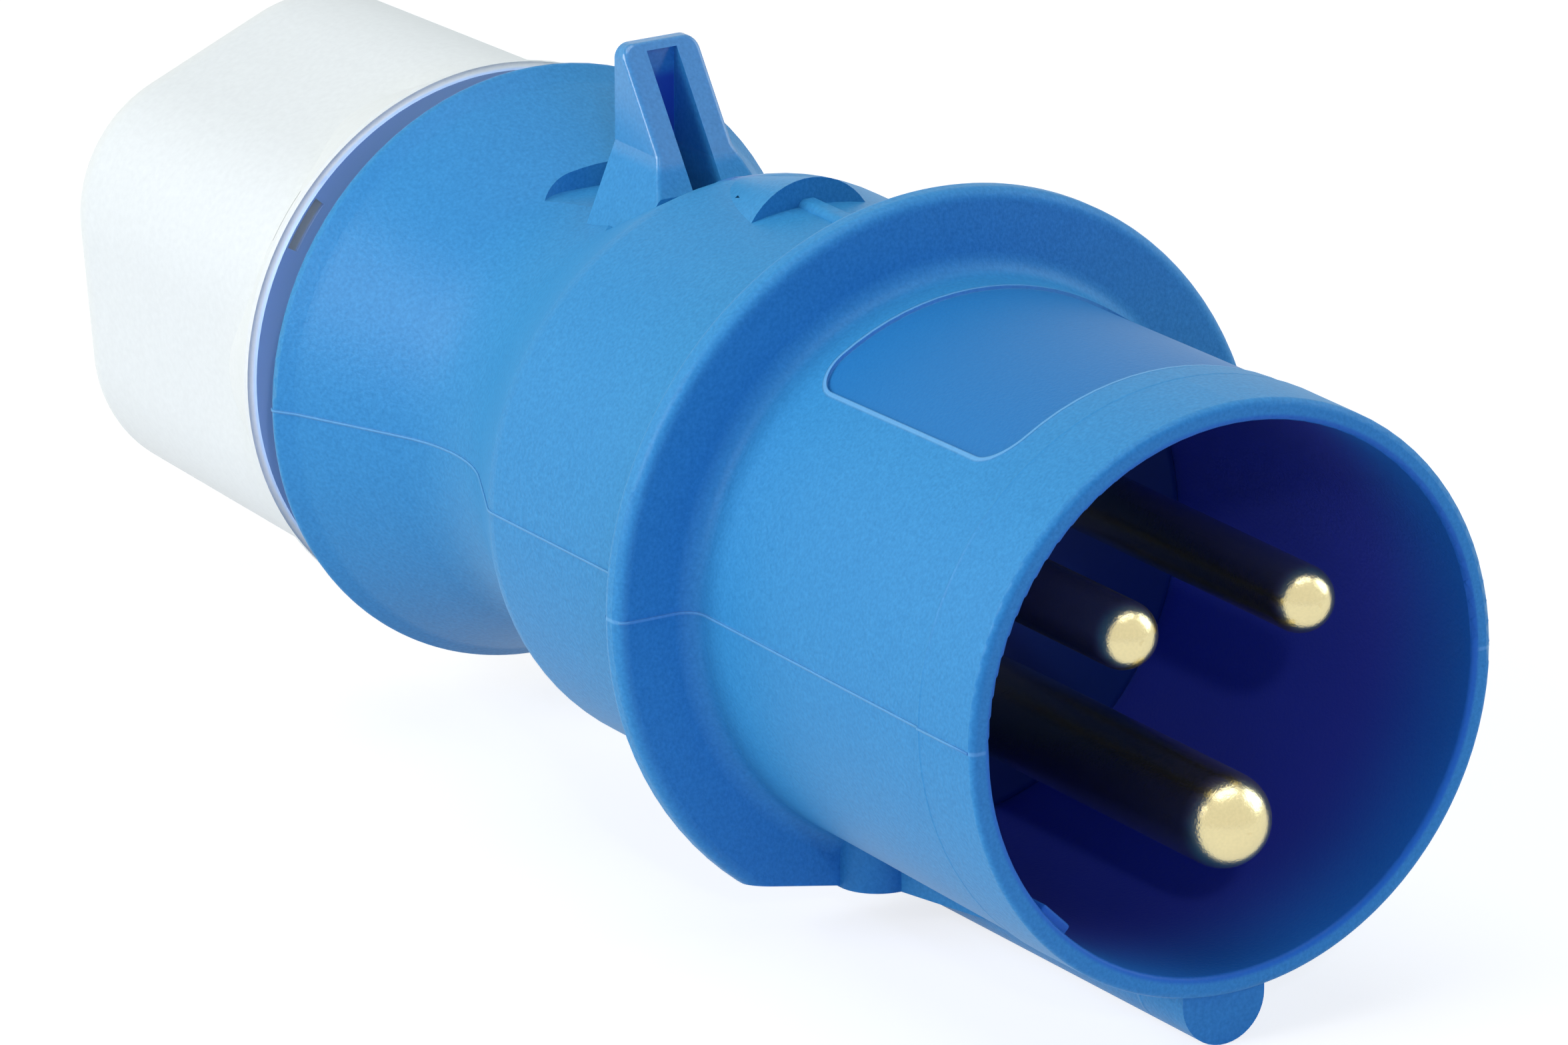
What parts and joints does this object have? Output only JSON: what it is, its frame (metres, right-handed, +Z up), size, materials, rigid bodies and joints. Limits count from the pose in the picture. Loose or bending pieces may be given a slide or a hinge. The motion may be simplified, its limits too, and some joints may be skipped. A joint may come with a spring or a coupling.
{
  "type": "industrial plug",
  "caption": "Round industrial power plug: keyed shroud round domed contact pins, stop flange, waisted body with a lug on top, and a screwed cable gland behind.",
  "frame": {"origin": "middle of the shroud's front rim, on the plug's axis", "axes": "+X along the axis out of the mouth, the way the connector leaves; +Z up, towards the lug, with the key at the bottom; +Y to the left seen from behind"},
  "size_m": [0.1369, 0.0552, 0.0555],
  "materials": {
    "blue_plastic": "fine moulded texture",
    "carrier_plastic": "satin",
    "white_plastic": "satin gloss",
    "grey_plastic": "satin",
    "pin_brass": "polished",
    "steel": "zinc plated",
    "seal_rubber": "matt"
  },
  "bodies": {
    "plug": {"housing": "blue_plastic", "contact_carrier": "carrier_plastic", "carrier_cover": "carrier_plastic", "carrier_seal": "seal_rubber", "line_pin": "pin_brass", "neutral_pin": "pin_brass", "earth_pin": "pin_brass", "line_cage": "steel", "neutral_cage": "steel", "earth_cage": "steel", "line_plate": "steel", "neutral_plate": "steel", "earth_plate": "steel", "terminal_screws": "steel", "carrier_screws": "steel", "lip_seal": "seal_rubber", "clamp_basket": "grey_plastic", "cable_seal": "seal_rubber", "cable_seal_core": "seal_rubber"},
    "washer": {"slip_washer": "grey_plastic"},
    "nut": {"gland_nut": "white_plastic"}
  },
  "joints": [
    {"name": "nut_travel", "type": "slide", "parent": "plug", "child": "washer", "axis": [1, 0, 0], "range_m": [-0.01201, 0.00351]},
    {"name": "nut_turn", "type": "hinge", "parent": "washer", "child": "nut", "pos_m": [-0.113, 0, 0], "axis": [1, 0, 0], "range_deg": [-1080, 315]}
  ],
  "couplings": [
    {"joint": "nut_travel", "follows": "nut_turn", "m_per_rad": 0.00063662}
  ]
}
